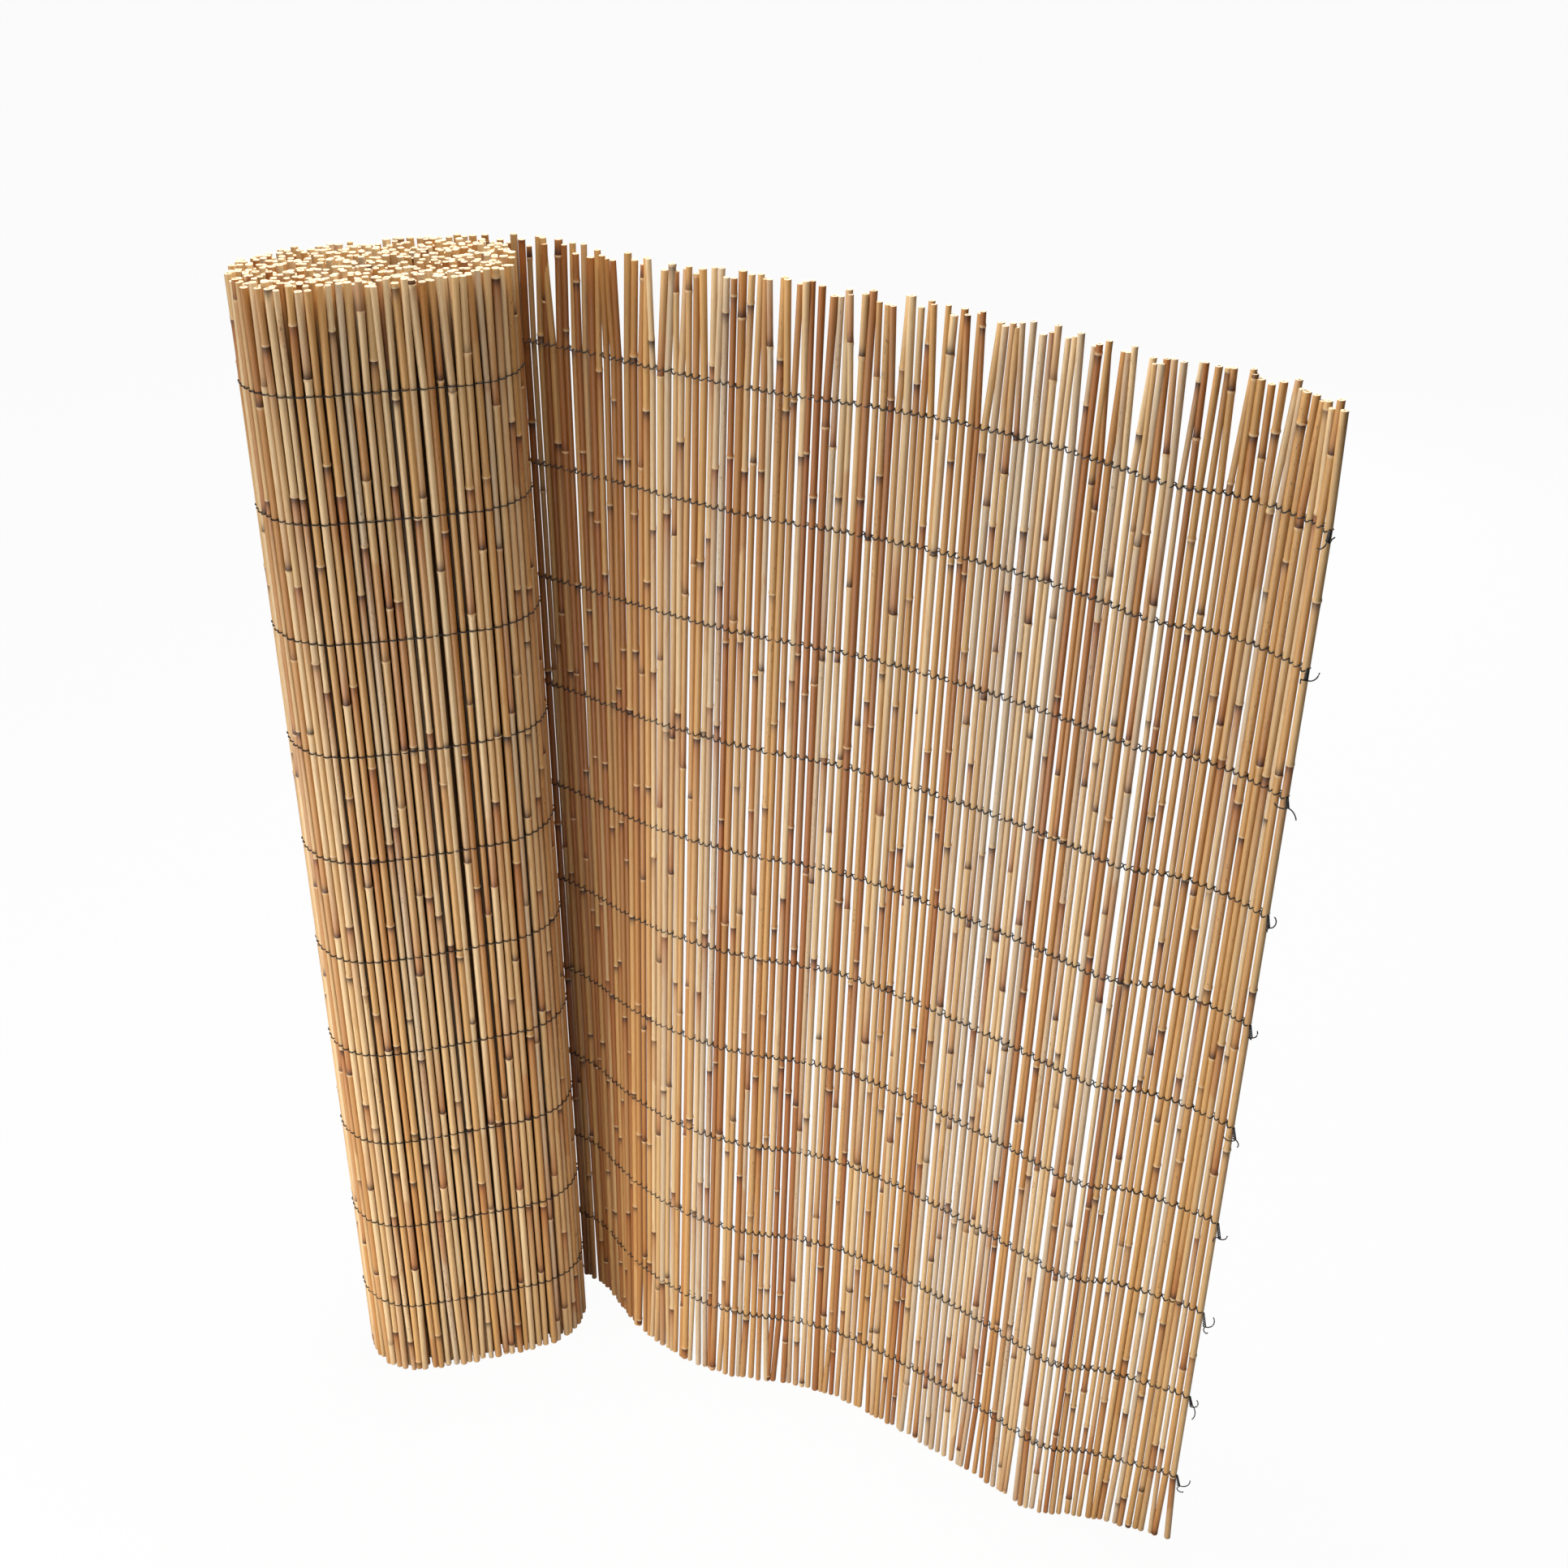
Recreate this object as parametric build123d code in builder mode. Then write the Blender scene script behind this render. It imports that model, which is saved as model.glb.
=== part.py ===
"""Reed screen on end: one end still rolled up, the rest run out as a wavy wall of reeds on ten wires."""
import os
from math import atan2, ceil, cos, degrees, hypot, pi, radians, sin, sqrt

from build123d import *

os.makedirs("parts", exist_ok=True)

# The mat is one metre tall, with its wires evenly spaced between two margins.
mat_height = 1000.0
wire_rows = 10
wire_margin = 79.0
wire_dia = 0.9
wire_ease = 1.0
wire_tail = 11.0
strand_stop = radians(318.0)

# Reeds differ in thickness and in cut length, and light shows between them.
reed_dia = 4.55
reed_spread = 0.18
reed_gap = 1.4
reed_neck = 1.2
foot_height = 14.0
cut_steps = (0.0, 2.0, 4.5, 7.0)

# The roll is a flattened spiral, its long axis turned a little from the X axis and its head leaning forward.
roll_at = (-252.0, 112.0)
roll_core = (51.0, 2.0)
roll_depth = 105.0
roll_turn = radians(16.0)
roll_lean = 18.0
turn_gap = 0.8
turn_facets = 13

# From the back of the roll to the free edge the mat bends in turn, less or more at its head than at its
# foot: length, degrees at the foot, degrees at the head, left bends positive.
run = (
    (71.0, 3.0, 3.0),
    (34.0, -45.0, -46.0),
    (55.0, -37.0, -4.0),
    (110.0, 30.0, 1.0),
    (77.0, 27.0, 7.0),
    (85.0, -29.0, -9.0),
    (178.0, -8.0, -15.0),
    (37.0, 47.0, 35.0),
    (22.0, -21.0, -28.0),
    (73.0, -3.0, -34.0),
)
foot_draw = 0.975
lip_least = 68.0

# Sizes that follow from those above.
run_length = sum(length for length, foot_turn, head_turn in run)
reed_most = reed_dia * (1 + reed_spread)
reed_flat = cos(pi / 6) / 2
turn_pitch = reed_most + turn_gap / 2
turn_thick = turn_pitch - turn_gap
roll_reach = roll_depth / 2 - roll_core[1] - reed_most / 2
roll_angle = 2 * pi * (roll_reach - 0.55 * turn_thick) / turn_pitch
strand_in = reed_most / 2 + wire_ease
row_step = (mat_height - 2 * wire_margin) / (wire_rows - 1)


def thickness(i):
    """Diameter of reed i, thick and thin ones mixed."""
    return reed_dia * (1 + reed_spread * (0.6 * sin(2.4 * i) + 0.4 * sin(5.1 * i + 1.0)))


def gap_after(i):
    """Light between reed i and the next one."""
    return reed_gap * (1 + 0.5 * sin(3.7 * i + 2.0))


def cut_class(i):
    """Which of the cut lengths reed i has."""
    return int(abs(97.0 * sin(7.3 * i + 0.5))) % len(cut_steps)


def coil(angle):
    """Place and outward normal of a turn's middle line, from the back of the roll inwards."""
    facing = pi / 2 + angle
    long_half, short_half = roll_core
    size = hypot(long_half * cos(facing), short_half * sin(facing))
    reach = roll_reach - turn_pitch * angle / (2 * pi)
    u = long_half**2 * cos(facing) / size + reach * cos(facing)
    v = short_half**2 * sin(facing) / size + reach * sin(facing)
    x = roll_at[0] + u * cos(roll_turn) - v * sin(roll_turn)
    y = roll_at[1] + u * sin(roll_turn) + v * cos(roll_turn)
    return x, y, cos(facing + roll_turn), sin(facing + roll_turn)


def ring(angle, level):
    """Place and normal on the roll at a level, the roll's lean included."""
    x, y, nx, ny = coil(angle)
    return x, y + roll_lean * (0.5 - level / mat_height), nx, ny


def edge_run(s, end):
    """Place and heading along the mat's foot (end 0) or head (end 1), s along it from the roll."""
    x, y, _, _ = ring(0.0, end * mat_height)
    heading = roll_turn
    for k, (length, *turns) in enumerate(run):
        step = min(s, length)
        bend = radians(turns[end]) / length
        chord = 2 * sin(bend * step / 2) / bend
        if k > 0 and end == 0:
            chord *= foot_draw
        x += chord * cos(heading + bend * step / 2)
        y += chord * sin(heading + bend * step / 2)
        heading += bend * step
        s -= step
    x += s * cos(heading)
    y += s * sin(heading)
    return x, y, heading


def stretch(s, level):
    """Place and backward normal of the standing mat at a level, its reeds straight from foot to head."""
    share = level / mat_height
    x, y, heading = [(1 - share) * a + share * b for a, b in zip(edge_run(s, 0), edge_run(s, 1))]
    return x, y, -sin(heading), cos(heading)


def beside(place, out, along=0.0):
    """Point off a place by so much along its normal, and along the mat towards the roll."""
    x, y, nx, ny = place
    return x + out * nx - along * ny, y + out * ny + along * nx


def coil_angles(pitch, first, last):
    """Angles at an even pitch along the roll's outer turn."""
    angles = []
    angle = first
    while angle < last:
        angles.append(angle)
        x0, y0, _, _ = coil(angle - 0.01)
        x1, y1, _, _ = coil(angle + 0.01)
        angle += 0.02 * pitch / hypot(x1 - x0, y1 - y0)
    return angles


# Reeds are set from the free edge back towards the roll until they reach its lip.
reeds = []
s = run_length - reed_most
while s > lip_least:
    reeds.append((s, thickness(len(reeds))))
    s -= thickness(len(reeds) - 1) / 2 + gap_after(len(reeds) - 1) + thickness(len(reeds)) / 2
lip_end = reeds[-1][0] - reeds[-1][1] / 2 - reed_gap
pairs = list(zip(reeds, reeds[1:]))


def between(pair):
    """Middle of the light between two neighbours, along the mat."""
    (s_a, dia_a), (s_b, dia_b) = pair
    return (s_a - dia_a / 2 + s_b + dia_b / 2) / 2


def wall_side(side):
    """One face of the wall's foot, a faceted ridge for each reed and a groove after it."""
    points = []
    for i, (s, dia) in enumerate(reeds):
        here = stretch(s, foot_height)
        if i == 0:
            points.append(beside(here, side * reed_neck / 2, -dia / 2))
        points.append(beside(here, side * reed_flat * dia, -dia / 4))
        points.append(beside(here, side * reed_flat * dia, dia / 4))
        if i < len(pairs):
            points.append(beside(stretch(between(pairs[i]), foot_height), side * reed_neck / 2))
        else:
            points.append(beside(here, side * reed_neck / 2, dia / 2))
    return points


def shaft(s, dia, top):
    """One six-sided reed from the wall's foot to its cut end, leaning as the mat does there."""
    x, y, nx, ny = stretch(s, foot_height)
    x_top, y_top, _, _ = stretch(s, top)
    lean = Vector(x_top - x, y_top - y, top - foot_height)
    with BuildSketch(Location((x, y, foot_height), (0, 0, degrees(atan2(ny, nx)) - 90))) as section:
        RegularPolygon(dia / 2, 6)
    return extrude(section.sketch, amount=lean.length, dir=lean.normalized(), mode=Mode.PRIVATE)


# The standing stretch: reeds close at the foot, open to the light from there to their cut ends.
with BuildPart() as standing_reeds:
    with BuildSketch():
        with BuildLine():
            Polyline(*wall_side(1), *reversed(wall_side(-1)), close=True)
        make_face()
    extrude(amount=foot_height)
    add([shaft(s, dia, mat_height - cut_steps[cut_class(i)]) for i, (s, dia) in enumerate(reeds)])
standing_reeds.part.label = "standing_reeds"
export_step(standing_reeds.part, "parts/standing_reeds.step")


def roll_section():
    """Section of the roll: reeds as ridges on its lip and outer turn, plain turns inside."""
    pitch = reed_dia + reed_gap
    places = []
    s = lip_end - reed_dia / 2
    while s > 0:
        places.append(stretch(s, 0.0))
        s -= pitch
    first = coil_angles(-s, 0.0, 0.5)[1]
    places += [ring(angle, 0.0) for angle in coil_angles(pitch, first, 2 * pi - 0.02)]
    points = [beside(stretch(lip_end, 0.0), out) for out in (-turn_thick / 2, reed_neck / 2)]
    for i, place in enumerate(places):
        dia = thickness(i + len(reeds))
        points.append(beside(place, dia / 2, -0.21 * dia))
        points.append(beside(place, dia / 2, 0.21 * dia))
        points.append(beside(place, reed_neck / 2, pitch / 2))
    facets = int(roll_angle / (2 * pi) * turn_facets)
    angles = [2 * pi * k / turn_facets for k in range(facets + 1)]
    points += [beside(ring(angle, 0.0), turn_thick / 2) for angle in angles[turn_facets:]]
    points += [beside(ring(angle, 0.0), -turn_thick / 2) for angle in reversed(angles)]
    points += [beside(stretch(lip_end * part, 0.0), -turn_thick / 2) for part in (0.33, 0.67)]
    return points


# The roll: one spiral of mat, its outer turn and the lip that leads to the wall ridged with reeds.
with BuildPart() as rolled_reeds:
    with BuildSketch():
        with BuildLine():
            Polyline(*roll_section(), close=True)
        make_face()
    extrude(amount=hypot(mat_height, roll_lean), dir=Vector(0, -roll_lean, mat_height).normalized())
rolled_reeds.part.label = "rolled_reeds"
export_step(rolled_reeds.part, "parts/rolled_reeds.step")


def strand_stations(first, level):
    """Places along the stretch, from the first on, where a strand is bent, more in the tighter bends."""
    stations = []
    s = 0.0
    for length, foot_turn, head_turn in run:
        turn = foot_turn + (head_turn - foot_turn) * level / mat_height
        parts = ceil(sqrt(length * radians(abs(turn)) / (8 * wire_ease)))
        stations += [s + length * k / parts for k in range(parts)]
        s += length
    return [first] + [s for s in stations if first + reed_dia < s < reeds[0][0] - reed_dia]


def strand_turns():
    """Angles round the roll where a strand is bent, closer at the roll's ends than on its flats."""
    turns = []
    angle = 0.0
    while angle < strand_stop:
        turns.append(angle)
        x0, y0, _, _ = coil(angle)
        x1, y1, _, _ = coil(angle + 0.25)
        angle += sqrt(7 * wire_ease * 0.25 / hypot(x1 - x0, y1 - y0))
    return turns


def wire_side(out, level):
    """Line of a wire at one distance from the reeds' middle: front face, free edge, back face and roll."""
    last = stretch(reeds[0][0], level)
    round_edge = (-pi / 2, -pi / 4, 0.0, pi / 4, pi / 2)
    front = [beside(stretch(s, level), -out) for s in strand_stations(lip_end + reed_dia, level)]
    edge = [beside(last, out * sin(turn), -out * cos(turn)) for turn in round_edge]
    back = [beside(stretch(s, level), out) for s in reversed(strand_stations(reed_dia, level))]
    return front, edge, back + [beside(ring(angle, level), out) for angle in strand_turns()]


def wire_outline(level):
    """Plan of one wire: along the wall's front, round its last reed, back behind it and round the roll."""
    front_in, edge_in, back_in = wire_side(strand_in, level)
    front_out, edge_out, back_out = wire_side(strand_in + wire_dia, level)
    last = stretch(reeds[0][0], level)
    root = strand_in + wire_dia
    corners = ((-1, root), (-1, root + wire_tail), (1, root + wire_tail), (1, root))
    tail = [beside(last, side * wire_dia / 2, -along) for side, along in corners]
    outside = front_out + edge_out[:2] + tail + edge_out[3:] + back_out
    return front_in + edge_in + back_in + outside[::-1]


# Ten wires at even heights, each with a twisted tail that stands off the free edge.
for row in range(wire_rows):
    level = mat_height - wire_margin - row * row_step
    with BuildPart() as binding_wire:
        with BuildSketch(Plane.XY.offset(level - wire_dia / 2)):
            with BuildLine():
                Polyline(*wire_outline(level), close=True)
            make_face()
        extrude(amount=wire_dia)
    binding_wire.part.label = f"binding_wire_{row + 1:02d}"
    export_step(binding_wire.part, f"parts/binding_wire_{row + 1:02d}.step")
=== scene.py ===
import math
import random
from collections import namedtuple

import bpy
import numpy as np
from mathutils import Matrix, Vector


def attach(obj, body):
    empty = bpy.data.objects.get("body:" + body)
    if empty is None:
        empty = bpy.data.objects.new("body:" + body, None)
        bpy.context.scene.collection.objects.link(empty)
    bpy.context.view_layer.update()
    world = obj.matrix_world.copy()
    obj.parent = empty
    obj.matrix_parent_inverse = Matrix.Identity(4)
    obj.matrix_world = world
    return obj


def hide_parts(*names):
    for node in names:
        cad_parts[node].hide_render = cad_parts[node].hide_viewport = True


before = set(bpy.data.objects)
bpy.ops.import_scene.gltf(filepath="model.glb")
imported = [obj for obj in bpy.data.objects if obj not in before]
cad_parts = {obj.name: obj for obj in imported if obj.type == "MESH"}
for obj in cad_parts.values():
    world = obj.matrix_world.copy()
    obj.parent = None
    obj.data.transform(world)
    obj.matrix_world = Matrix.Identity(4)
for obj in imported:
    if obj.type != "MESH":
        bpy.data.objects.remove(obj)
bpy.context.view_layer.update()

# Standing reeds: dried canes cut to one metre, standing on their cut ends side by side.
# Each is a hollow stem with a raised ring at every node and a burnt-looking band beside it.
# They are held only by the wires, so they lean a little and differ in thickness and length.

MAT_HEIGHT = 1000.0
WIRE_MARGIN = 79.0
FOOT_WIRE = WIRE_MARGIN
TOP_WIRE = MAT_HEIGHT - WIRE_MARGIN
REED_DIA = 4.55
REED_SPREAD = 0.18
REED_GAP = 1.4
REED_MOST = REED_DIA * (1 + REED_SPREAD)
CUT_STEPS = (0.0, 2.0, 4.5, 7.0)

# The roll's place and section, because the standing stretch starts at the roll's back.
ROLL_AT = (-252.0, 112.0)
ROLL_CORE = (51.0, 2.0)
ROLL_DEPTH = 105.0
ROLL_TURN = math.radians(16.0)
ROLL_LEAN = 18.0
TURN_GAP = 0.8
TURN_PITCH = REED_MOST + TURN_GAP / 2
ROLL_REACH = ROLL_DEPTH / 2 - ROLL_CORE[1] - REED_MOST / 2

# Bends of the mat from the roll to the free edge: length, degrees at the foot, degrees at the head.
RUN = (
    (71.0, 3.0, 3.0),
    (34.0, -45.0, -46.0),
    (55.0, -37.0, -4.0),
    (110.0, 30.0, 1.0),
    (77.0, 27.0, 7.0),
    (85.0, -29.0, -9.0),
    (178.0, -8.0, -15.0),
    (37.0, 47.0, 35.0),
    (22.0, -21.0, -28.0),
    (73.0, -3.0, -34.0),
)
FOOT_DRAW = 0.975
LIP_LEAST = 68.0


def coil(angle, level):
    """Place and outward normal on the roll's turns, from its back inwards, in millimetres."""
    facing = math.pi / 2 + angle
    long_half, short_half = ROLL_CORE
    size = math.hypot(long_half * math.cos(facing), short_half * math.sin(facing))
    reach = ROLL_REACH - TURN_PITCH * angle / (2 * math.pi)
    u = long_half**2 * math.cos(facing) / size + reach * math.cos(facing)
    v = short_half**2 * math.sin(facing) / size + reach * math.sin(facing)
    x = ROLL_AT[0] + u * math.cos(ROLL_TURN) - v * math.sin(ROLL_TURN)
    y = ROLL_AT[1] + u * math.sin(ROLL_TURN) + v * math.cos(ROLL_TURN)
    y += ROLL_LEAN * (0.5 - level / MAT_HEIGHT)
    return x, y, math.cos(facing + ROLL_TURN), math.sin(facing + ROLL_TURN)


def edge_run(s, end):
    """Place and heading along the mat's foot (end 0) or head (end 1), s along it from the roll."""
    x, y, _, _ = coil(0.0, end * MAT_HEIGHT)
    heading = ROLL_TURN
    for k, (length, *turns) in enumerate(RUN):
        step = min(s, length)
        bend = math.radians(turns[end]) / length
        chord = 2 * math.sin(bend * step / 2) / bend
        if k > 0 and end == 0:
            chord *= FOOT_DRAW
        x += chord * math.cos(heading + bend * step / 2)
        y += chord * math.sin(heading + bend * step / 2)
        heading += bend * step
        s -= step
    return x + s * math.cos(heading), y + s * math.sin(heading), heading


def stretch(s, level):
    """Place and backward normal of the standing mat at a level."""
    share = level / MAT_HEIGHT
    x, y, heading = [(1 - share) * a + share * b for a, b in zip(edge_run(s, 0), edge_run(s, 1))]
    return x, y, -math.sin(heading), math.cos(heading)


def thickness(i):
    """Diameter of reed i, thick and thin ones mixed."""
    return REED_DIA * (1 + REED_SPREAD * (0.6 * math.sin(2.4 * i) + 0.4 * math.sin(5.1 * i + 1.0)))


def gap_after(i):
    """Light between reed i and the next one."""
    return REED_GAP * (1 + 0.5 * math.sin(3.7 * i + 2.0))


def cut_class(i):
    """Which of the cut lengths reed i has."""
    return int(abs(97.0 * math.sin(7.3 * i + 0.5))) % len(CUT_STEPS)


def srgb(r, g, b):
    """Linear colour of an ordinary 0 to 255 colour."""
    return tuple(c / 255 / 12.92 if c <= 10.3 else ((c / 255 + 0.055) / 1.055) ** 2.4 for c in (r, g, b))


# Tones of dry cane from pale straw to red-brown, then greyed and greenish ones, and how often each occurs.
STRAW_TONES = (
    srgb(226, 195, 148),
    srgb(215, 176, 121),
    srgb(206, 158, 96),
    srgb(188, 133, 72),
    srgb(160, 98, 46),
    srgb(210, 186, 152),
    srgb(164, 136, 84),
)
STANDING_SHARES = (4, 5, 5, 3.5, 2.5, 5, 0.6)
EDGE_SHARES = (3, 6, 8, 1, 0, 0, 0)
EDGE_CANES = 7
# Canes next to the roll draw browner tones, as painted shade for the roll's shadow falling on them.
ROLL_SHADOW_SHARES = (0.5, 2, 5, 6, 5, 0.5, 0)
NEAR_ROLL_FROM = 87

# How a cane grows: which way its bands lie, where its nodes are, and how girth and tone vary.
UPWARD_SHARE = 0.38
FIRST_NODE_BELOW = (30, 250)
NODE_STEP = (110, 265)
NODE_CLEAR = 8
NODE_SPLIT = 0.65
NODE_SWELL = (1.1, 1.2)
TAPER = 0.04
TONE_LIGHT = (0.85, 0.97)
TONE_MIX = (0.0, 0.25)
SHEATH_SHARE = 0.2
SHEATH_REACH = (25, 150)
SHEATH_SLANT = 4.0
SPOTTED_SHARE = 0.05
END_BANDS = 3
BEND_LEVELS = (FOOT_WIRE, 180.0, 290.0, 400.0, 500.0, 600.0, 710.0, 820.0, TOP_WIRE, 960.0)

# What the material reads at each point: tone; strengths of scorch, glow and leaf sheath; distance from the
# node that the bands start at; distance past the sheath's edge; cut end; node's lip; noise shift; spots.
REED_MARKS = ("tone", "band", "away", "over", "cut", "ring", "seed", "spots")
Internode = namedtuple("Internode", "tone band start reach")
Ring = namedtuple("Ring", "z size tone band away over cut lip")


def draw_internode(low, high, upward, base, rng, shares):
    """Look of the stem between two nodes, with its bands starting at one of them."""
    other = rng.choices(STRAW_TONES, shares)[0]
    mix = rng.uniform(*TONE_MIX)
    light = rng.uniform(*TONE_LIGHT)
    tone = tuple(light * ((1 - mix) * a + mix * b) for a, b in zip(base, other))
    scorch = rng.choice((0.5, 0.75, 0.9, 1.0, 1.0))
    glow = rng.choice((0.1, 0.3, 0.6, 0.9, 1.0))
    sheath = rng.uniform(0.2, 0.6) if rng.random() < SHEATH_SHARE else 0.0
    reach = rng.uniform(*SHEATH_REACH)
    return Internode(tone, (scorch, glow, sheath), low if upward else high, reach)


def node_profile(upward, swell):
    """Height, girth and pale lip across a node; one with its bands below is the other upside down."""
    profile = (
        (-4.0, 1.0, 0.0),
        (-1.8, 1.04, 0.0),
        (-1.0, 0.97 * swell, 0.2),
        (-0.6, swell, 1.0),
        (0.5, swell, 1.0),
        (0.8, 1.06, 0.0),
        (1.8, 1.05, 0.0),
        (5.0, 1.0, 0.0),
    )
    return profile if upward else [(-offset, girth, lip) for offset, girth, lip in reversed(profile)]


def stem_stations(nodes, internodes, upward, rng, plain_in_shade):
    """Height, girth, internode, lip and cut at each level where the stem bends, and across its nodes."""
    stations = []
    split = NODE_SPLIT if upward else -NODE_SPLIT
    for k, here in enumerate(internodes):
        low, high = nodes[k : k + 2]
        levels = [z for z in BEND_LEVELS if low + NODE_CLEAR < z < high - NODE_CLEAR]
        stations += [(z, 1.0, here, 0.0, 0.0) for z in levels]
        if k + 1 < len(internodes) and not plain_in_shade:
            for offset, girth, lip in node_profile(upward, rng.uniform(*NODE_SWELL)):
                side = here if offset < split else internodes[k + 1]
                stations.append((high + offset, girth, side, lip, 0.0))
    return stations


def cut_end(z, inward, internode, hollow, deep):
    """Stations of a cut end from its hollow to its edge; inward is 1 at a foot and -1 at a head."""
    return [
        (z + inward * deep, 0.8 * hollow, internode, 0.0, 1.0),
        (z, hollow, internode, 0.0, 0.8),
        (z, 0.94, internode, 0.0, 0.7),
        (z + inward * 0.3, 1.0, internode, 0.0, 0.0),
    ]


def paint_shade_below(stations, internodes, head):
    """Stations of a cane inside the roll, in its own tone at its head and with painted shade below, for the
    dark inside the roll where no light gets in.
    """
    lit_to, dark_from, dark_share = 22, 60, 0.12
    painted_shade = [part._replace(tone=tuple(dark_share * c for c in part.tone)) for part in internodes]
    below = [(z, girth, painted_shade[0], lip, cut) for z, girth, _, lip, cut in stations if z < head - dark_from - 5]
    below.append((head - dark_from, 1.0, painted_shade[-1], 0.0, 0.0))
    below.append((head - lit_to, 1.0, internodes[-1], 0.0, 0.0))
    return below


class Canes:
    """Canes gathered into one mesh, with what the material needs to know at each point."""

    def __init__(self):
        self.points, self.faces, self.flat = [], [], []
        self.marks = {name: [] for name in REED_MARKS}
        self.count = 0

    def add(self, middle, dia, foot, head, rng, shares, sides=12, plain_in_shade=False):
        """One cane: middle(z) gives its centre at a height, all in millimetres. A plain one has no nodes and
        is given painted shade below its head.
        """
        upward = rng.random() < UPWARD_SHARE
        nodes = [foot - rng.uniform(*FIRST_NODE_BELOW)]
        while nodes[-1] < head:
            nodes.append(nodes[-1] + rng.uniform(*NODE_STEP))
        base = rng.choices(STRAW_TONES, shares)[0]
        seed = rng.uniform(0, 50)
        spots = rng.uniform(0.5, 1.0) if rng.random() < SPOTTED_SHARE else 0.0
        taper = rng.uniform(-TAPER, TAPER)
        first_side = rng.uniform(0, 2 * math.pi)
        internodes = [draw_internode(*ends, upward, base, rng, shares) for ends in zip(nodes, nodes[1:])]
        hollow = rng.uniform(0.2, 0.5)
        deep = rng.uniform(0.5, 2.5)
        stem = stem_stations(nodes, internodes, upward, rng, plain_in_shade)
        # A plain cane inside the roll has shade painted on below its head.
        if plain_in_shade:
            stem = paint_shade_below(stem, internodes, head)
        stem = [station for station in stem if foot + 1.0 < station[0] < head - 1.0]
        foot_end = cut_end(foot, 1, internodes[0], hollow, deep)
        head_end = cut_end(head, -1, internodes[-1], hollow, deep)
        rings = []
        for z, girth, internode, lip, cut in foot_end + stem + head_end[::-1]:
            size = dia / 2 * girth * (1 + taper * (z - MAT_HEIGHT / 2) / (MAT_HEIGHT / 2))
            away = abs(z - internode.start)
            over = away - internode.reach
            rings.append(Ring(z, size, internode.tone, internode.band, away, over, cut, lip))
        self.skin_over(rings, middle, sides, first_side)
        self.mark_points(rings, sides, seed, spots)
        self.count += len(rings) * sides

    def skin_over(self, rings, middle, sides, first_side):
        """Points of a cane's rings and the faces between them, flat at its cut ends."""
        rows = len(rings)
        turn = np.arange(sides) * 2 * math.pi / sides + first_side
        centres = np.array([middle(ring.z) for ring in rings])
        sizes = np.array([ring.size for ring in rings])
        xy = centres[:, None, :] + sizes[:, None, None] * np.stack([np.cos(turn), np.sin(turn)], 1)[None]
        zs = np.repeat(np.array([ring.z for ring in rings])[:, None], sides, 1)
        self.points.append(np.concatenate([xy, zs[..., None]], 2).reshape(-1, 3))
        i = np.arange(rows - 1)[:, None] * sides
        j = np.arange(sides)[None]
        k = (j + 1) % sides
        quads = np.stack([i + j, i + k, i + sides + k, i + sides + j], 2).reshape(-1, 4) + self.count
        self.faces += quads.tolist()
        flat_rows = [row < END_BANDS or row >= rows - 1 - END_BANDS for row in range(rows - 1)]
        self.flat += np.repeat(np.array(flat_rows), sides).tolist()
        self.faces.append((np.arange(sides)[::-1] + self.count).tolist())
        self.faces.append((np.arange(sides) + (rows - 1) * sides + self.count).tolist())
        self.flat += [True, True]

    def mark_points(self, rings, sides, seed, spots):
        """Marks of a cane's points; the sheath's edge runs slanting round the stem."""
        slant = SHEATH_SLANT * np.cos(np.arange(sides) * 2 * math.pi / sides)
        over = np.array([ring.over for ring in rings])[:, None] + slant[None]
        values = {
            "tone": np.repeat(np.array([ring.tone for ring in rings]), sides, 0),
            "band": np.repeat(np.array([ring.band for ring in rings]), sides, 0),
            "away": np.repeat(np.array([ring.away for ring in rings]) / 1000, sides),
            "over": over.ravel() / 1000,
            "cut": np.repeat(np.array([ring.cut for ring in rings]), sides),
            "ring": np.repeat(np.array([ring.lip for ring in rings]), sides),
            "seed": np.full(len(rings) * sides, seed),
            "spots": np.full(len(rings) * sides, spots),
        }
        for name in REED_MARKS:
            self.marks[name].append(values[name])

    def make(self, name, material):
        """The gathered canes as one object, in metres."""
        mesh = bpy.data.meshes.new(name)
        mesh.from_pydata((np.concatenate(self.points) * 0.001).tolist(), [], self.faces)
        mesh.polygons.foreach_set("use_smooth", [not flat for flat in self.flat])
        for mark, rows in self.marks.items():
            values = np.concatenate(rows)
            if values.ndim == 2:
                layer = mesh.attributes.new(mark, "FLOAT_COLOR", "POINT")
                values = np.concatenate([values, np.ones((len(values), 1))], 1)
                layer.data.foreach_set("color", values.astype(np.float32).ravel())
            else:
                layer = mesh.attributes.new(mark, "FLOAT", "POINT")
                layer.data.foreach_set("value", values.astype(np.float32).ravel())
        mesh.materials.append(material)
        mesh.update()
        made = bpy.data.objects.new(name, mesh)
        bpy.context.scene.collection.objects.link(made)
        return made


def plug(tree, value, socket):
    """Link a socket to another node's output, or set its value."""
    if isinstance(value, bpy.types.NodeSocket):
        tree.links.new(value, socket)
    else:
        socket.default_value = value


def add_node(tree, kind, inputs=None, **settings):
    """A shader node; inputs are values or other nodes' outputs, by the socket's name or number."""
    made = tree.nodes.new(kind)
    for key, value in settings.items():
        setattr(made, key, value)
    for key, value in (inputs or {}).items():
        plug(tree, value, made.inputs[key])
    return made


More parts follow.
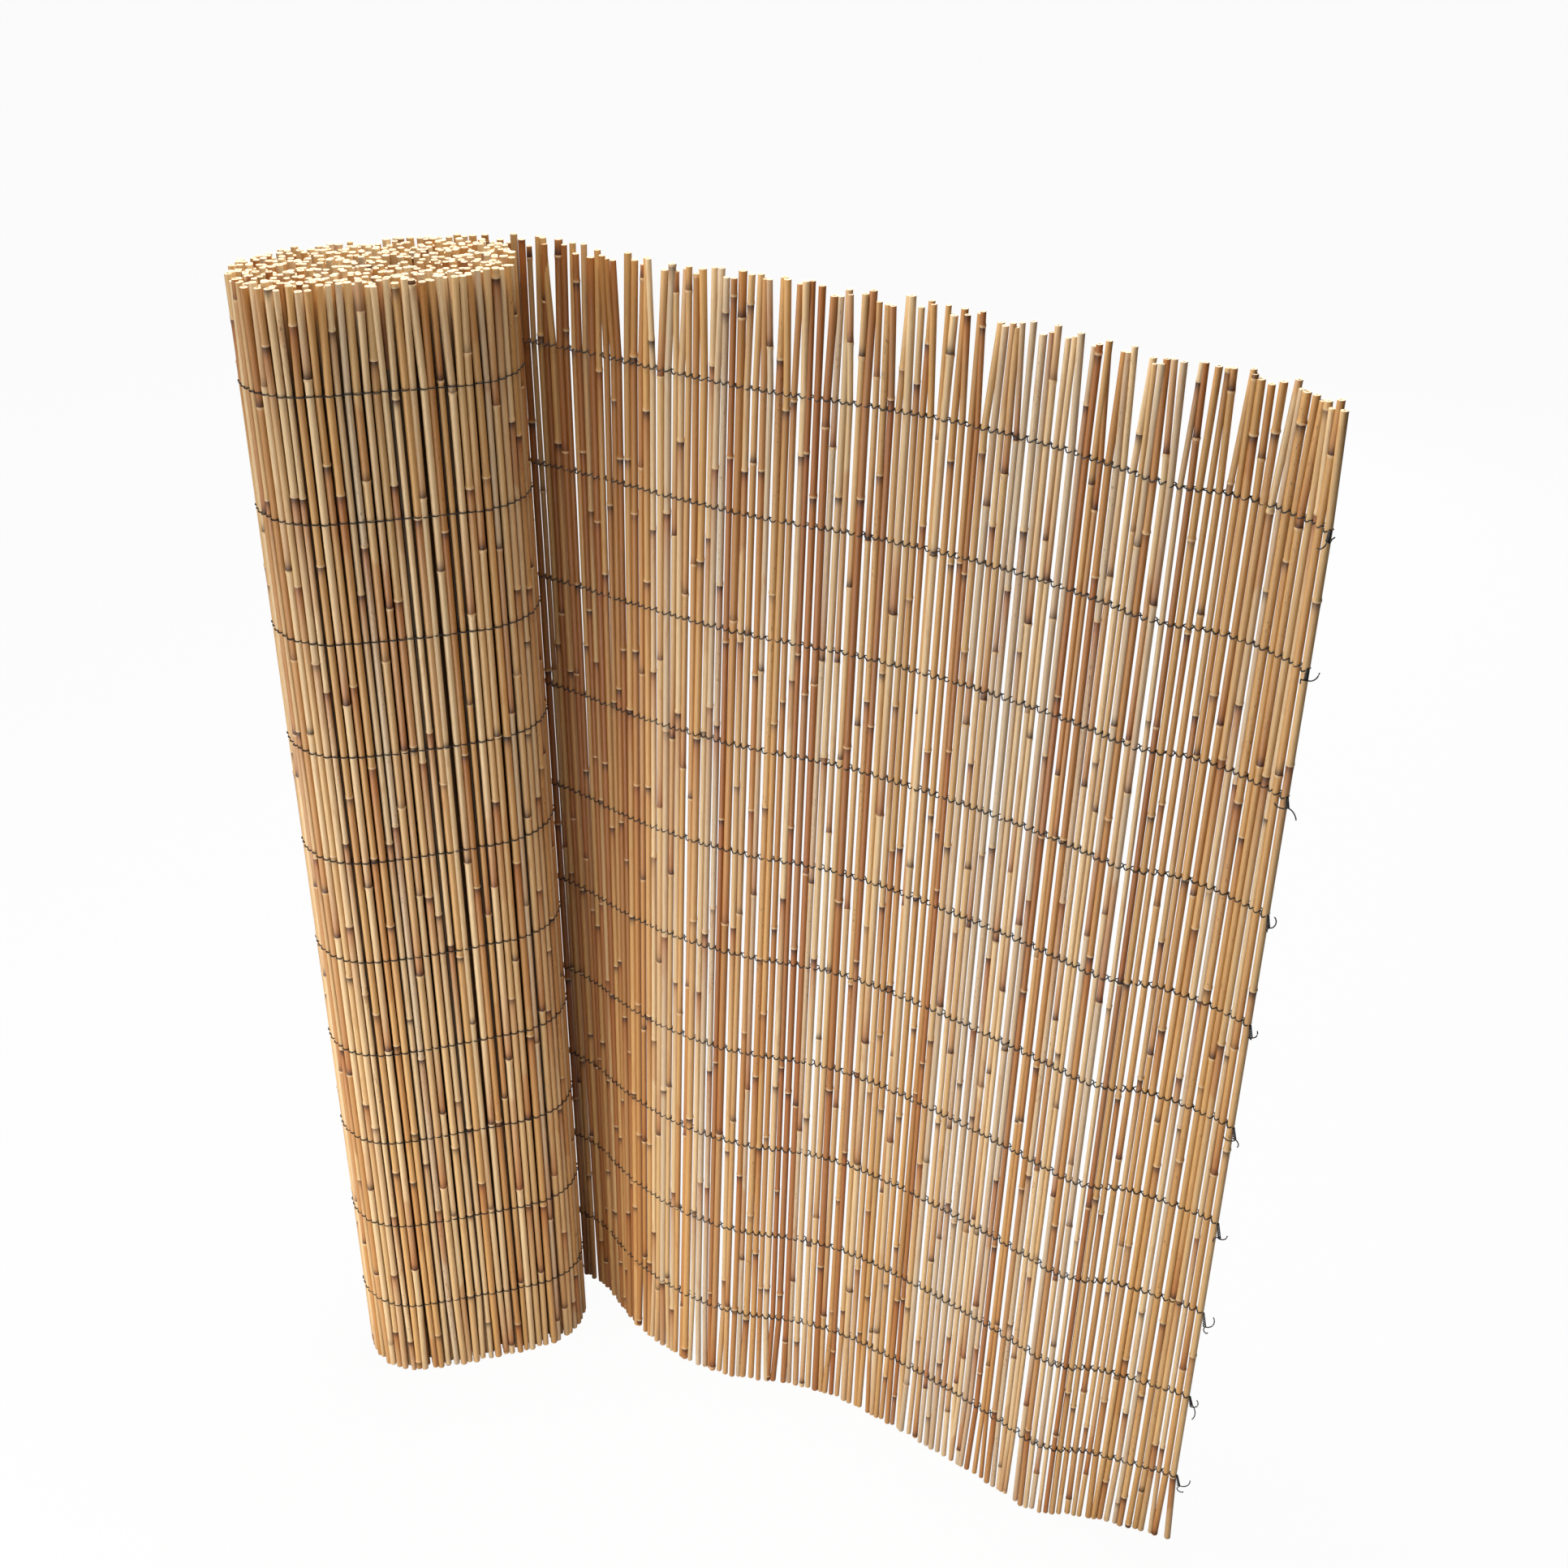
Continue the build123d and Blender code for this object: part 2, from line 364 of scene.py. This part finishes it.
class Finish:
    """A material of one surface shader, with short calls for the nodes that lead to it."""

    def __init__(self, name):
        self.material = bpy.data.materials.new(name)
        self.material.use_nodes = True
        self.tree = self.material.node_tree
        self.tree.nodes.clear()
        self.surface = add_node(self.tree, "ShaderNodeBsdfPrincipled")
        add_node(self.tree, "ShaderNodeOutputMaterial", {"Surface": self.surface.outputs[0]})

    def node(self, kind, inputs=None, **settings):
        return add_node(self.tree, kind, inputs, **settings)

    def calc(self, how, a, b=0.0, c=0.0):
        return self.node("ShaderNodeMath", {0: a, 1: b, 2: c}, operation=how).outputs[0]

    def times(self, a, b):
        return self.calc("MULTIPLY", a, b)

    def ramp(self, value, start, stop, low, high):
        """Smooth step of a value."""
        inputs = {"Value": value, 1: start, 2: stop, 3: low, 4: high}
        return self.node("ShaderNodeMapRange", inputs, interpolation_type="SMOOTHSTEP").outputs[0]

    def blend(self, amount, under, over):
        """One colour laid over another by an amount."""
        under, over = [(*colour, 1.0) if isinstance(colour, tuple) else colour for colour in (under, over)]
        return self.node("ShaderNodeMix", {0: amount, 6: under, 7: over}, data_type="RGBA").outputs[2]

    def coat(self, inputs):
        """Set what the surface shader takes."""
        for key, value in inputs.items():
            plug(self.tree, value, self.surface.inputs[key])


STREAK_BROWN = srgb(168, 116, 62)
PATCH_BROWN = srgb(176, 116, 56)
SHEATH_BROWN = srgb(172, 112, 54)
GLOW_RUST = srgb(156, 88, 36)
SCORCH_BROWN = srgb(60, 33, 19)
LIP_PALE = srgb(206, 172, 128)
SPOT_BROWN = srgb(60, 42, 30)
PITH_PALE = srgb(255, 243, 220)
PITH_WARM = srgb(248, 220, 176)

reed_skin = Finish("reed")
mark = {name: reed_skin.node("ShaderNodeAttribute", attribute_name=name).outputs for name in REED_MARKS}
strength = reed_skin.node("ShaderNodeSeparateColor", {"Color": mark["band"]["Color"]}).outputs
place = reed_skin.node("ShaderNodeTexCoord").outputs["Object"]
seed = mark["seed"]["Fac"]
shift = reed_skin.node("ShaderNodeCombineXYZ", {"X": seed, "Y": seed}).outputs[0]
moved = reed_skin.node("ShaderNodeVectorMath", {0: place, 1: shift}, operation="ADD").outputs[0]


def reed_noise(scale, detail):
    """Noise in the reed's own place, drawn out along it."""
    drawn = reed_skin.node("ShaderNodeMapping", {"Vector": moved, "Scale": scale}).outputs[0]
    inputs = {"Vector": drawn, "Scale": 1.0, "Detail": detail, "Roughness": 0.6}
    return reed_skin.node("ShaderNodeTexNoise", inputs).outputs["Fac"]


# Fibres along the stem and weathered patches.
streak = reed_noise((1500.0, 1500.0, 9.0), 3.0)
patch = reed_noise((140.0, 140.0, 26.0), 4.0)
fleck = reed_noise((900.0, 900.0, 320.0), 2.0)
colour = mark["tone"]["Color"]
colour = reed_skin.blend(reed_skin.ramp(streak, 0.35, 0.75, 0.0, 0.3), colour, STREAK_BROWN)
colour = reed_skin.blend(reed_skin.ramp(patch, 0.56, 0.78, 0.0, 0.55), colour, PATCH_BROWN)

# What is left of the leaf sheath, with a frayed edge.
fray = reed_skin.calc("SUBTRACT", streak, 0.5)
frayed = reed_skin.calc("MULTIPLY_ADD", fray, 0.012, mark["over"]["Fac"])
covered = reed_skin.times(reed_skin.ramp(frayed, -0.004, 0.004, 1.0, 0.0), strength["Blue"])
colour = reed_skin.blend(covered, colour, SHEATH_BROWN)

# The rust-coloured glow and the dark band beside a node, and the node's pale lip.
uneven = reed_skin.calc("MULTIPLY_ADD", patch, 1.0, 0.5)
far = reed_skin.times(mark["away"]["Fac"], uneven)
glow = reed_skin.times(reed_skin.calc("EXPONENT", reed_skin.times(far, -24.0)), strength["Green"])
colour = reed_skin.blend(reed_skin.times(glow, 0.9), colour, GLOW_RUST)
fall = reed_skin.calc("POWER", reed_skin.times(far, 175.0), 2.0)
scorch = reed_skin.calc("EXPONENT", reed_skin.times(fall, -1.0))
scorch = reed_skin.times(scorch, strength["Red"])
colour = reed_skin.blend(reed_skin.times(scorch, 0.95), colour, SCORCH_BROWN)
colour = reed_skin.blend(reed_skin.times(mark["ring"]["Fac"], 0.85), colour, LIP_PALE)

# Mould spots on a few canes, and the pale pith of the cut ends.
spotted = reed_skin.times(reed_skin.ramp(fleck, 0.6, 0.66, 0.0, 0.8), mark["spots"]["Fac"])
spotted = reed_skin.times(spotted, reed_skin.ramp(patch, 0.42, 0.6, 0.0, 1.0))
colour = reed_skin.blend(spotted, colour, SPOT_BROWN)
pith = reed_skin.blend(patch, PITH_PALE, PITH_WARM)
colour = reed_skin.blend(mark["cut"]["Fac"], colour, pith)
grain = reed_skin.node("ShaderNodeBump", {"Strength": 0.2, "Distance": 0.0003, "Height": streak}).outputs[0]
reed_skin.coat({
    "Base Color": colour,
    "Roughness": reed_skin.calc("MULTIPLY_ADD", streak, 0.25, 0.33),
    "Specular IOR Level": 0.4,
    "Normal": grain,
})

# Reeds are set from the free edge back towards the roll until they reach its lip.
standing = []
s = sum(length for length, foot_turn, head_turn in RUN) - REED_MOST
while s > LIP_LEAST:
    i = len(standing)
    standing.append((s, thickness(i)))
    s -= thickness(i) / 2 + gap_after(i) + thickness(i + 1) / 2
LIP_END = standing[-1][0] - standing[-1][1] / 2 - REED_GAP


def leaning(foot, head, rng, loose=1.0):
    """Centre line of a cane from foot to head that bows, and strays beyond the first and last wires."""
    x0, y0, nx, ny = foot
    x1, y1, _, _ = head
    tilt = rng.gauss(0, 0.6) * loose
    bow = rng.gauss(0, 0.7) * loose
    deep_tilt = rng.gauss(0, 0.4) * loose
    top_stray = math.tan(math.radians(rng.gauss(0, 1.5) * loose))
    foot_stray = math.tan(math.radians(rng.gauss(0, 0.9) * loose))
    top_deep = math.tan(math.radians(rng.gauss(0, 1.2) * loose))

    def middle(z):
        share = z / MAT_HEIGHT
        h = 2 * share - 1
        along = tilt * h + bow * (1 - h * h)
        deep = deep_tilt * h
        if z > TOP_WIRE:
            along += top_stray * (z - TOP_WIRE)
            deep += top_deep * (z - TOP_WIRE)
        if z < FOOT_WIRE:
            along += foot_stray * (FOOT_WIRE - z)
        x = x0 + (x1 - x0) * share - along * ny + deep * nx
        y = y0 + (y1 - y0) * share + along * nx + deep * ny
        return x, y

    return middle


WALL_SEED = 1000
# Canes at the free edge and towards the roll are a little stouter than those between.
STOUTNESS = ((0, 9, 16, 34, 56), (1.06, 1.06, 0.94, 0.94, 1.06))
wall = Canes()
for i, (s, dia) in enumerate(standing):
    rng = random.Random(WALL_SEED + i)
    top = MAT_HEIGHT - CUT_STEPS[cut_class(i)] + rng.uniform(-1.0, 0.0)
    shares = STANDING_SHARES
    if i < EDGE_CANES:
        shares = EDGE_SHARES
    # Next to the roll the browner tones are painted shade.
    elif i >= NEAR_ROLL_FROM:
        shares = ROLL_SHADOW_SHARES
    stout = np.interp(i, *STOUTNESS)
    middle = leaning(stretch(s, 0.0), stretch(s, MAT_HEIGHT), rng)
    wall.add(middle, stout * dia, rng.uniform(0.0, 2.5), top, rng, shares)
standing_canes = wall.make("standing_canes", reed_skin.material)
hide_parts("standing_reeds")
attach(standing_canes, "root")

# Rolled reeds: the rest of the mat, still wound up as it was sold and pressed a little flat.
# They are the same cut canes, and the wires that bind them go round with them.
# Outside they show whole, side by side; the turns inside show only as a crowd of cut ends.

ROLL_PITCH = 6.4
ROLL_STOUT = 1.15
ROLL_LOOSE = 0.7
ROLL_SEED = 5000
ROLLED_SHARES = (7, 8, 4, 1.2, 0.6, 2, 0.4)
TURN_END = 2 * math.pi - 0.02


def pace(angle, step):
    """Angle that is one step further along the coil, found by halving."""
    x0, y0, _, _ = coil(angle, 0.0)
    near, past = angle, angle + 0.6
    for _ in range(24):
        middle = (near + past) / 2
        x1, y1, _, _ = coil(middle, 0.0)
        if math.hypot(x1 - x0, y1 - y0) < step:
            near = middle
        else:
            past = middle
    return near


outer_ends = []
s = LIP_END - REED_DIA / 2
while s > 0:
    outer_ends.append((stretch(s, 0.0), stretch(s, MAT_HEIGHT)))
    s -= ROLL_PITCH
angle = pace(0.0, -s)
while angle < TURN_END:
    outer_ends.append((coil(angle, 0.0), coil(angle, MAT_HEIGHT)))
    angle = pace(angle, ROLL_PITCH)

roll = Canes()
for i, (foot, head) in enumerate(outer_ends):
    rng = random.Random(ROLL_SEED + i)
    dia = thickness(i + len(standing)) * ROLL_STOUT
    top = MAT_HEIGHT - rng.uniform(0.0, 5.0)
    middle = leaning(foot, head, rng, ROLL_LOOSE)
    roll.add(middle, dia, rng.uniform(0.0, 3.0), top, rng, ROLLED_SHARES)
rolled_outside = roll.make("rolled_canes_outside", reed_skin.material)
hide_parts("rolled_reeds")
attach(rolled_outside, "root")

# The roll's inner turns are plain canes painted dark below their heads, as painted shade for the dark inside
# the roll.
HEART_PITCH = 5.4
HEART_LEAST = 2.9
HEART_LOOSE = 0.3
HEART_SLIP = 0.5
HEART_SIDES = 8
HEART_SEED = 9000
last_angle = 2 * math.pi * (ROLL_REACH - HEART_LEAST) / TURN_PITCH
heart = Canes()
i = 0
while angle < last_angle:
    rng = random.Random(HEART_SEED + i)
    slip_x, slip_y = rng.uniform(-HEART_SLIP, HEART_SLIP), rng.uniform(-HEART_SLIP, HEART_SLIP)
    turns = (coil(angle, 0.0), coil(angle, MAT_HEIGHT))
    foot, head = [(x + slip_x, y + slip_y, nx, ny) for x, y, nx, ny in turns]
    dia = REED_DIA * rng.uniform(1.0, 1.2)
    top = MAT_HEIGHT - rng.uniform(0.0, 6.0)
    middle = leaning(foot, head, rng, HEART_LOOSE)
    heart.add(middle, dia, rng.uniform(0.0, 4.0), top, rng, ROLLED_SHARES, HEART_SIDES, plain_in_shade=True)
    angle = pace(angle, HEART_PITCH)
    i += 1
rolled_inside = heart.make("rolled_canes_inside", reed_skin.material)
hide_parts("rolled_reeds")
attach(rolled_inside, "root")

# Binding wires: ten rows of thin dark annealed wire, two strands to a row.
# One strand passes before each cane and the other behind it, and they cross in every gap.
# At the free edge the two strands are twisted together, and their cut ends stick out.

WIRE_DIA = 0.95
WIRE_ROWS = 10
WIRE_SIDES = 5
WIRE_SEED = 200
WIRE_DARK = srgb(26, 25, 26)
WIRE_WORN = srgb(54, 50, 47)

# Across a cane's front, in half diameters, and how far the strand sags there.
FRONT_SAG = ((-0.8, 0.2), (-0.4, -0.7), (0.0, -1.0), (0.4, -0.7), (0.8, 0.4))
BACK_LIFT = 0.4
TAIL_STEP = 1.1


def tube(line, dia):
    """Points and faces of a round wire along a line of points, in millimetres."""
    line = np.array(line, float)
    ahead = np.gradient(line, axis=0)
    ahead /= np.linalg.norm(ahead, axis=1)[:, None]
    ref = np.where(np.abs(ahead[:, 2:3]) < 0.9, np.array([[0, 0, 1.0]]), np.array([[1.0, 0, 0]]))
    a = np.cross(ahead, ref)
    a /= np.linalg.norm(a, axis=1)[:, None]
    b = np.cross(a, ahead)
    turn = np.arange(WIRE_SIDES) * 2 * math.pi / WIRE_SIDES
    ring = np.cos(turn)[None, :, None] * a[:, None] + np.sin(turn)[None, :, None] * b[:, None]
    points = (line[:, None] + dia / 2 * ring).reshape(-1, 3)
    i = np.arange(len(line) - 1)[:, None] * WIRE_SIDES
    j = np.arange(WIRE_SIDES)[None]
    k = (j + 1) % WIRE_SIDES
    faces = np.stack([i + j, i + k, i + WIRE_SIDES + k, i + WIRE_SIDES + j], 2).reshape(-1, 4).tolist()
    faces.append(list(range(WIRE_SIDES))[::-1])
    faces.append([(len(line) - 1) * WIRE_SIDES + t for t in range(WIRE_SIDES)])
    return points, faces


def tubes(name, lines, dia, material):
    """One object of several wires."""
    points, faces, count = [], [], 0
    for line in lines:
        more_points, more_faces = tube(line, dia)
        points.append(more_points)
        faces += [[corner + count for corner in face] for face in more_faces]
        count += len(more_points)
    mesh = bpy.data.meshes.new(name)
    mesh.from_pydata((np.concatenate(points) * 0.001).tolist(), [], faces)
    mesh.polygons.foreach_set("use_smooth", [True] * len(mesh.polygons))
    mesh.materials.append(material)
    made = bpy.data.objects.new(name, mesh)
    bpy.context.scene.collection.objects.link(made)
    return made


wire_skin = Finish("wire")
place = wire_skin.node("ShaderNodeTexCoord").outputs["Object"]
noise = {"Vector": place, "Scale": 260.0, "Detail": 3.0}
tarnish = wire_skin.node("ShaderNodeTexNoise", noise).outputs["Fac"]
wire_skin.coat({
    "Base Color": wire_skin.blend(tarnish, WIRE_DARK, WIRE_WORN),
    "Metallic": 0.3,
    "Roughness": 0.5,
})


def beside(place, out, along):
    """Point off a place by so much along its normal, and along the mat towards the roll."""
    x, y, nx, ny = place
    return x + out * nx - along * ny, y + out * ny + along * nx


def bound_canes(level):
    """Every cane that a row of wire passes, from the free edge to the roll's last outer cane."""
    share = level / MAT_HEIGHT
    canes = [(stretch(s, level), dia) for s, dia in standing]
    for i, (foot, head) in enumerate(outer_ends):
        place = tuple((1 - share) * a + share * b for a, b in zip(foot, head))
        canes.append((place, thickness(i + len(standing)) * ROLL_STOUT))
    return canes


def strand(canes, level, side, rng):
    """One wire of a row; side is -1 where it starts before the first cane."""
    line = []
    for k, (place, dia) in enumerate(canes):
        grip = dia / 2 + WIRE_DIA / 2
        lift = level + 1.2 * math.sin(0.11 * k + level) + rng.uniform(-0.4, 0.4)
        sag = rng.uniform(0.7, 1.2)
        for part, drop in FRONT_SAG:
            along = part * dia / 2
            out = side * math.sqrt(max(grip**2 - along**2, 0.05))
            line.append((*beside(place, out, along), lift + (drop * sag if side < 0 else BACK_LIFT)))
        if k + 1 < len(canes):
            next_place, next_dia = canes[k + 1]
            x0, y0 = beside(place, 0, dia / 2)
            x1, y1 = beside(next_place, 0, -next_dia / 2)
            line.append(((x0 + x1) / 2, (y0 + y1) / 2, lift + (-0.3 if side < 0 else 1.0)))
        side = -side
    return line


def wire_end(canes, level, rng):
    """A row's end at the free edge: a few turns twisted downwards, then two cut ends that curl apart."""
    place, dia = canes[0]
    along = np.array([place[3], -place[2], 0.0])
    out = np.array([-place[2], -place[3], 0.0])
    down = np.array([0.0, 0.0, -1.0])
    root = np.array([*beside(place, -0.6, -dia / 2 - 0.5), level])
    axis = down + along * rng.uniform(0.1, 0.5) + out * rng.uniform(0.1, 0.5)
    axis /= np.linalg.norm(axis)
    a = np.cross(axis, along)
    a /= np.linalg.norm(a)
    b = np.cross(axis, a)
    turns = rng.uniform(2.5, 4.0)
    length = rng.uniform(6.0, 11.0)
    lines = []
    for phase in (0.0, math.pi):
        line = []
        for t in np.linspace(0, 1, 30):
            turn = phase + 2 * math.pi * turns * t
            round_axis = math.cos(turn) * a + math.sin(turn) * b
            line.append(root + axis * length * t + (0.6 + 0.5 * t) * round_axis)
        heading = line[-1] - line[-2]
        heading /= np.linalg.norm(heading)
        curl = rng.uniform(0.18, 0.42) * rng.choice((-1, 1))
        for _ in range(rng.randint(7, 13)):
            swing = np.cross(heading, out)
            swing /= np.linalg.norm(swing)
            heading = heading + swing * curl + along * 0.08
            heading /= np.linalg.norm(heading)
            line.append(line[-1] + TAIL_STEP * heading)
        lines.append(line)
    return lines


for row in range(WIRE_ROWS):
    level = TOP_WIRE - row * (TOP_WIRE - FOOT_WIRE) / (WIRE_ROWS - 1)
    rng = random.Random(WIRE_SEED + row)
    canes = bound_canes(level)
    lines = [strand(canes, level, -1, rng), strand(canes, level, 1, rng)]
    lines += wire_end(canes, level, rng)
    wire = tubes(f"twined_wire_{row + 1:02d}", lines, WIRE_DIA, wire_skin.material)
    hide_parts(f"binding_wire_{row + 1:02d}")
    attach(wire, "root")

# Floor and light: a plain white floor and backdrop with soft light, as in a studio.
# The floor is pale grey paper to the light and shows nearly white to the camera, so it keeps a faint shadow.

FLOOR_HALF = 9.0
FLOOR_Z = -0.0004
FLOOR_GREY = (0.7, 0.7, 0.7, 1)
FLOOR_WHITE_SHARE = 0.96
DOME_LIGHT = 0.05
LIGHTS = (
    ("front", (-0.5, -2.2, 0.6), (0.0, 0.0, 0.3), 0.6, 0.6, 4.0),
    ("left", (-2.7, -0.95, 0.9), (0.0, 0.0, 0.4), 0.35, 0.35, 27.0),
    ("low", (-0.75, -0.78, 0.15), (0.0, 0.0, 0.12), 1.5, 0.25, 10.5),
    ("top", (-0.15, 0.12, 2.3), (-0.15, 0.12, 0.5), 0.6, 0.6, 40.0),
    ("back", (0.7, 2.6, 1.1), (0.0, 0.0, 0.45), 0.8, 0.8, 26.0),
)
PHOTO_SIDE = 1932
PHOTO_FOCAL = 2600
SENSOR = 36.0
CAMERA_AT = (0.028, -1.324, 1.410)
LOOK_DOWN = 30

floor_skin = bpy.data.materials.new("floor")
floor_skin.use_nodes = True
tree = floor_skin.node_tree
tree.nodes.clear()
paper = add_node(tree, "ShaderNodeBsdfDiffuse", {"Color": FLOOR_GREY}).outputs[0]
bright = add_node(tree, "ShaderNodeEmission", {"Color": (1, 1, 1, 1), "Strength": 1.0}).outputs[0]
seen = add_node(tree, "ShaderNodeLightPath").outputs["Is Camera Ray"]
share = add_node(tree, "ShaderNodeMath", {0: seen, 1: FLOOR_WHITE_SHARE}, operation="MULTIPLY").outputs[0]
mixed = add_node(tree, "ShaderNodeMixShader", {0: share, 1: paper, 2: bright}).outputs[0]
add_node(tree, "ShaderNodeOutputMaterial", {"Surface": mixed})
floor_mesh = bpy.data.meshes.new("floor")
corners = [(x * FLOOR_HALF, y * FLOOR_HALF, FLOOR_Z) for x, y in ((-1, -1), (1, -1), (1, 1), (-1, 1))]
floor_mesh.from_pydata(corners, [], [(0, 1, 2, 3)])
floor_mesh.materials.append(floor_skin)
floor = bpy.data.objects.new("floor", floor_mesh)
bpy.context.scene.collection.objects.link(floor)

world = bpy.data.worlds.new("studio")
world.use_nodes = True
bpy.context.scene.world = world
tree = world.node_tree
tree.nodes.clear()
seen = add_node(tree, "ShaderNodeLightPath").outputs["Is Camera Ray"]
level = add_node(tree, "ShaderNodeMapRange", {0: seen, 3: DOME_LIGHT, 4: 1.0}).outputs[0]
dome = add_node(tree, "ShaderNodeBackground", {"Color": (1, 1, 1, 1), "Strength": level}).outputs[0]
add_node(tree, "ShaderNodeOutputWorld", {"Surface": dome})

for name, place, target, width, height, watts in LIGHTS:
    lamp = bpy.data.lights.new(name, "AREA")
    lamp.shape = "RECTANGLE"
    lamp.size = width
    lamp.size_y = height
    lamp.energy = watts
    light = bpy.data.objects.new(name, lamp)
    light.location = place
    light.rotation_euler = (Vector(target) - Vector(place)).to_track_quat("-Z", "Y").to_euler()
    bpy.context.scene.collection.objects.link(light)

camera_data = bpy.data.cameras.new("camera")
camera_data.sensor_width = SENSOR
camera_data.lens = SENSOR * PHOTO_FOCAL / PHOTO_SIDE
camera_data.clip_start = 0.05
camera = bpy.data.objects.new("camera", camera_data)
camera.location = CAMERA_AT
camera.rotation_euler = (math.radians(90 - LOOK_DOWN), 0.0, 0.0)
bpy.context.scene.collection.objects.link(camera)
bpy.context.scene.camera = camera
bpy.context.scene.view_settings.view_transform = "Standard"
